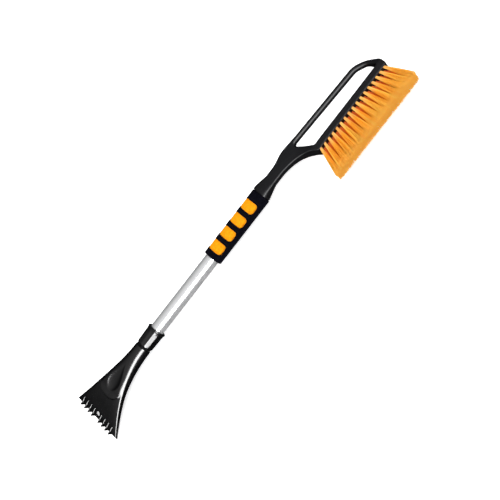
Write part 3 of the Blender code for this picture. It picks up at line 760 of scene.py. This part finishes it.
def pillow_rings(outline, inwards):
    """Copies of an outline stacked into a wall with round long edges, from the underside to the top."""
    count = len(outline)
    normals = []
    for k in range(count):
        along = (outline[(k + 1) % count] - outline[k - 1]).normalized()
        normals.append(Vector((along.y, -along.x)) * inwards)
    bends = [math.pi / 2 * k / 6 for k in range(7)]
    rings = []
    for side, bend in [(-1.0, a) for a in bends[::-1]] + [(1.0, a) for a in bends]:
        ring = []
        for point, normal in zip(outline, normals):
            radius, half = edge_round(point.x, point.y), plate_half(point.x, point.y)
            at = point + normal * radius * (1.0 - math.cos(bend))
            ring.append(Vector((at.x, at.y, side * (half - radius + radius * math.sin(bend)))))
        rings.append(ring)
    return rings


def frame_plate():
    """Fork, loop handle and bar as one plate, with the hand opening through it."""
    plate = bmesh.new()
    for corners, inwards in ((OUTER_CORNERS, 1.0), (INNER_CORNERS, -1.0)):
        pour(draw_rings(pillow_rings(rounded_outline(corners), inwards), capped=False), plate)
    ends = [edge for edge in plate.edges if edge.is_boundary]
    for side in (-1.0, 1.0):
        rim = [edge for edge in ends if (edge.verts[0].co.z + edge.verts[1].co.z) * side > 0.0]
        bmesh.ops.triangle_fill(plate, use_beauty=True, use_dissolve=False, edges=rim)
    return plate


def neck_and_plug():
    """The plug inside the tube, the shoulder against the grip and the round foot of the fork."""
    plug_r, plug_start = 9.7, 36.0
    neck_start, neck_end = GRIP_HIGH.x + 0.3, 105.0
    # x, half width, half thickness, middle's y, and squareness
    rows = [(neck_start, 12.9, 10.6, 0.6, 3.4), (neck_start + 0.25, 13.4, 11.1, 0.7, 3.6),
            (neck_start + 0.8, 13.6, 11.3, 0.7, 3.6), (79.5, 13.2, 10.9, 1.3, 3.8),
            (85.0, 12.2, 9.6, 1.7, 4.3),
            (91.0, 11.0, 7.9, 1.9, 5.0), (98.0, 9.8, 6.3, 2.0, 6.0), (neck_end, 8.7, 5.2, 2.1, 7.0)]
    rings = [oval_ring(plug_start, 96, plug_r - 1.0, plug_r - 1.0),
             oval_ring(plug_start + 1.0, 96, plug_r, plug_r), oval_ring(neck_start, 96, plug_r, plug_r)]
    x = neck_start
    while x <= neck_end:
        half_y, half_z, mid_y, power = between(rows, x)
        rings.append(oval_ring(x, 96, half_y, half_z, power, mid_y))
        x += 0.25 if x < neck_start + 1.0 else 1.0
    return draw_rings(rings)


TUFT_R = 2.1
ROW_PITCH = 8.6
TUFT_PITCH = 9.08
FIRST_HOLE_X = 182.1
HOLES_PER_ROW = 17                       # the middle row has one less and stands between the others
HOLE_DEPTH = 6.3
RIVET_X, RIVET_HOLE_R = 52.0, 2.3


def hole_centres():
    """Row, number and x of every hole."""
    for row in (-1, 0, 1):
        first = FIRST_HOLE_X + (TUFT_PITCH / 2 if row == 0 else 0.0)
        for k in range(HOLES_PER_ROW - (row == 0)):
            yield row, k, first + k * TUFT_PITCH


def make_brush_frame():
    head = place("brush_frame_body", frame_plate())
    combine(head, place("neck_tool", neck_and_plug()), "UNION")
    drills = bmesh.new()
    for row, _, x in hole_centres():
        z = row * ROW_PITCH
        pour(rod(TUFT_R + 0.35, (x, BAR_FRONT_Y - 2, z), (x, BAR_FRONT_Y + HOLE_DEPTH, z), 20), drills)
    combine(head, place("holes_tool", drills), "DIFFERENCE")
    rivet_hole = rod(RIVET_HOLE_R, (RIVET_X, 0, -13), (RIVET_X, 0, 13))
    combine(head, place("rivet_tool", rivet_hole), "DIFFERENCE")
    finish_piece(head, PP_BLACK, "shaft", ["brush_frame"], 38.0)


# ---------------------------------------------------------------- bristles

LOCKS = 4                                # a tuft's filaments gather in a grid of LOCKS x LOCKS locks
LOCK_STRANDS = 16
STRAND_R = 0.19
STRAND_STEPS = 4
TIP_Y = -83.5
TIP_HALF_X, TIP_HALF_Z = 5.2, 4.2        # half of a tuft's spread at its tips
TIP_ROW_PITCH = 7.4
TIP_LEAN = -0.24
END_X, END_ROUND = 345.6, 5.0            # the tips' far end, and how round its corner is


def strand_template():
    """One straight three-sided filament with a closed tip; its vertices keep their ring's number."""
    bm = bmesh.new()
    step = bm.verts.layers.int.new("step")
    turn = bm.verts.layers.int.new("turn")
    verts = bmesh.ops.create_circle(bm, segments=3, radius=STRAND_R)["verts"]
    for k, vert in enumerate(verts):
        vert[turn] = k
    loop = list(bm.edges)
    for number in range(1, STRAND_STEPS + 1):
        verts, loop = extrude_loop(bm, loop)
        for vert in verts:
            vert[step] = number
    bmesh.ops.edgeloop_fill(bm, edges=loop)
    bmesh.ops.recalc_face_normals(bm, faces=bm.faces)
    return to_mesh("strand", bm)


def fill_tuft(bm, template, chance, root, tip, depth):
    """Plant one tuft: locks of strands fan from a round root to a square tip, and each wavers a little."""
    step, turn = bm.verts.layers.int["step"], bm.verts.layers.int["turn"]
    along, strand, inner = (bm.verts.layers.float[name] for name in ("along", "strand", "inner"))
    for number in range(LOCKS * LOCKS * LOCK_STRANDS):
        if number % LOCK_STRANDS == 0:
            lock = number // LOCK_STRANDS
            across = (lock % LOCKS + 0.5) / LOCKS * 2.0 - 1.0 + chance.uniform(-0.14, 0.14)
            up = (lock // LOCKS + 0.5) / LOCKS * 2.0 - 1.0 + chance.uniform(-0.14, 0.14)
            lock_shade = chance.random()
            lock_end = chance.uniform(-0.25, 0.25)
        u = min(max(across + chance.gauss(0.0, 0.2), -1.05), 1.05)
        v = min(max(up + chance.gauss(0.0, 0.16), -1.0), 1.0)
        crowd = max(math.hypot(u, v), 1.0)
        start = root + Vector((u, 0.0, v)) / crowd * (TUFT_R - 0.35)
        end = tip + Vector((u * TIP_HALF_X, lock_end + chance.uniform(-0.35, 0.35), v * TIP_HALF_Z))
        end.x = min(end.x, END_X)
        past = min(max(end.x - END_X + END_ROUND, 0.0), END_ROUND)
        end.y += END_ROUND - math.sqrt(END_ROUND ** 2 - past ** 2)
        waver = Vector((chance.gauss(0.0, 0.35), 0.0, chance.gauss(0.0, 0.35)))
        shade = 0.7 * lock_shade + 0.3 * chance.random()
        spin = chance.uniform(0.0, 2.0 * math.pi)
        first = len(bm.verts)
        bm.from_mesh(template)
        bm.verts.ensure_lookup_table()
        for vert in bm.verts[first:]:
            share = vert[step] / STRAND_STEPS
            radius = STRAND_R * (1.0 - 0.3 * share ** 2)
            corner = spin + 2.0 * math.pi * vert[turn] / 3
            centre = start.lerp(end, share) + waver * math.sin(math.pi * share) * share
            vert.co = centre + Vector((math.cos(corner) * radius, 0.0, math.sin(corner) * radius))
            vert[along] = share
            vert[strand] = shade
            # painted shade: red laid on near the roots, strongest for rows that lie in shade, fading out
            # towards the tips
            vert[inner] = depth * (1.0 - rounded(0.4, 1.0, share)) * (0.75 + 0.25 * shade)


def make_bristles():
    template = strand_template()
    middle_x = FIRST_HOLE_X + TUFT_PITCH * (HOLES_PER_ROW - 1) / 2
    root_y = BAR_FRONT_Y + 1.5
    # row, name, how much the tips spread along the bar, and how much painted shade reddens the row's roots
    for row, name, fan, depth in ((-1, "lower", 0.188, 0.4), (0, "middle", 0.25, 0.85),
                                  (1, "upper", 0.188, 0.0)):
        bm = bmesh.new()
        bm.verts.layers.int.new("step")
        bm.verts.layers.int.new("turn")
        for layer in ("along", "strand", "inner"):
            bm.verts.layers.float.new(layer)
        chance = random.Random(40 + row)
        nodes = []
        for hole_row, k, x in hole_centres():
            if hole_row != row:
                continue
            tip = Vector((x + (x - middle_x) * fan + TIP_LEAN, TIP_Y + 0.6, row * TIP_ROW_PITCH))
            fill_tuft(bm, template, chance, Vector((x, root_y, row * ROW_PITCH)), tip, depth)
            nodes.append(f"tuft_{name}_{k + 1:02d}")
        row_piece = place(f"bristles_{name}", bm, weld=False)
        row_piece.data.materials.append(FILAMENT)
        row_piece.data.shade_smooth()
        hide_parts(*nodes)
        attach(row_piece, "shaft")


# ---------------------------------------------------------------- what shows as the CAD made it

def dress_nodes():
    for node, material, slot in (("collet", NYLON, "black_nylon"),
                                 ("scraper_spigot", PP_BLACK, "satin_black"),
                                 ("spigot_pin", STEEL, "pin_steel"),
                                 ("frame_rivet", STEEL, "pin_steel")):
        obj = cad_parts[node]
        obj.data.materials.clear()
        obj.data.materials.append(material)


# ---------------------------------------------------------------- floor, light, camera

def studio_floor():
    bm = bmesh.new()
    bmesh.ops.create_grid(bm, x_segments=1, y_segments=1, size=12.0)
    floor = link_object("floor", to_mesh("floor", bm))
    mat, _, shader = new_material("white_paper_sweep", "#f7f7f7", 0.9)
    shader.inputs["Emission Color"].default_value = srgb("#ffffff")
    shader.inputs["Emission Strength"].default_value = 0.55
    floor.data.materials.append(mat)
    floor.visible_glossy = False


def soft_box(name, middle, aim, size, power, glossy):
    """An area light seen either only in reflections or only by diffuse surfaces."""
    data = bpy.data.lights.new(name, "AREA")
    data.shape = "RECTANGLE"
    data.size, data.size_y = size
    data.energy = power
    light = link_object(name, data)
    light.location = middle
    facing = (Vector(aim) - Vector(middle)).normalized()
    side = Vector((1.0, 0.0, 0.0))
    up = facing.cross(side).normalized()
    light.rotation_euler = Matrix((side, -up, -facing)).transposed().to_euler()
    light.visible_glossy = glossy
    light.visible_diffuse = not glossy


KEY_LEAN = math.radians(46.0)            # from straight up towards -y
KEY_REACH = 1.5                          # metres


def studio():
    """White for the eye, even for diffuse surfaces; in reflections a ceiling that fades to the horizon."""
    world = bpy.data.worlds.new("studio")
    bpy.context.scene.world = world
    world.use_nodes = True
    tree = world.node_tree
    back = tree.nodes["Background"]
    back.inputs["Color"].default_value = srgb("#ffffff")
    ray = add_node(tree, "ShaderNodeLightPath")
    direction = add_node(tree, "ShaderNodeTexCoord")
    height = add_node(tree, "ShaderNodeSeparateXYZ", None, {"Vector": direction.outputs["Generated"]})
    ceiling = add_node(tree, "ShaderNodeMapRange", {"From Min": 0.25, "From Max": 1.0, "To Max": 0.65},
                       {"Value": height.outputs["Z"]})
    seen = add_node(tree, "ShaderNodeMix", {"A": 0.5},
                    {"Factor": ray.outputs["Is Glossy Ray"], "B": ceiling.outputs["Result"]})
    level = add_node(tree, "ShaderNodeMix", {"B": 1.0},
                     {"Factor": ray.outputs["Is Camera Ray"], "A": seen.outputs["Result"]})
    tree.links.new(level.outputs["Result"], back.inputs["Strength"])
    middle = (0.0, -KEY_REACH * math.sin(KEY_LEAN), KEY_REACH * math.cos(KEY_LEAN))
    soft_box("bristle_side_strip", middle, (0, 0, 0), (3.2, 0.8), 230.0, True)
    soft_box("overhead_bank", (0.0, -0.3, 1.9), (0, 0, 0), (2.6, 1.6), 48.0, False)
    bpy.context.scene.view_settings.view_transform = "Standard"


CAMERA_STAND = Vector((119.0, -700.0, 1212.44))
CAMERA_TARGET = Vector((0.0, -31.66, -18.28))
CAMERA_ROLL = math.radians(52.1)


def camera():
    data = bpy.data.cameras.new("camera")
    data.lens = 68.1
    data.sensor_width = 36.0
    data.clip_end = 50.0
    cam = link_object("camera", data)
    stand = SHAFT_ZERO + CAMERA_STAND * MM
    target = SHAFT_ZERO + CAMERA_TARGET * MM
    forward = (target - stand).normalized()
    across = (Vector((1, 0, 0)) - forward * forward.x).normalized()
    down = forward.cross(across)
    right = across * math.cos(CAMERA_ROLL) + down * math.sin(CAMERA_ROLL)
    up = across * math.sin(CAMERA_ROLL) - down * math.cos(CAMERA_ROLL)
    cam.matrix_world = Matrix.Translation(stand) @ Matrix((right, up, -forward)).transposed().to_4x4()
    bpy.context.scene.camera = cam


make_tube()
make_grip_core()
make_grip_cover()
make_collar()
make_scraper_head()
make_brush_frame()
make_bristles()
dress_nodes()
studio_floor()
studio()
camera()
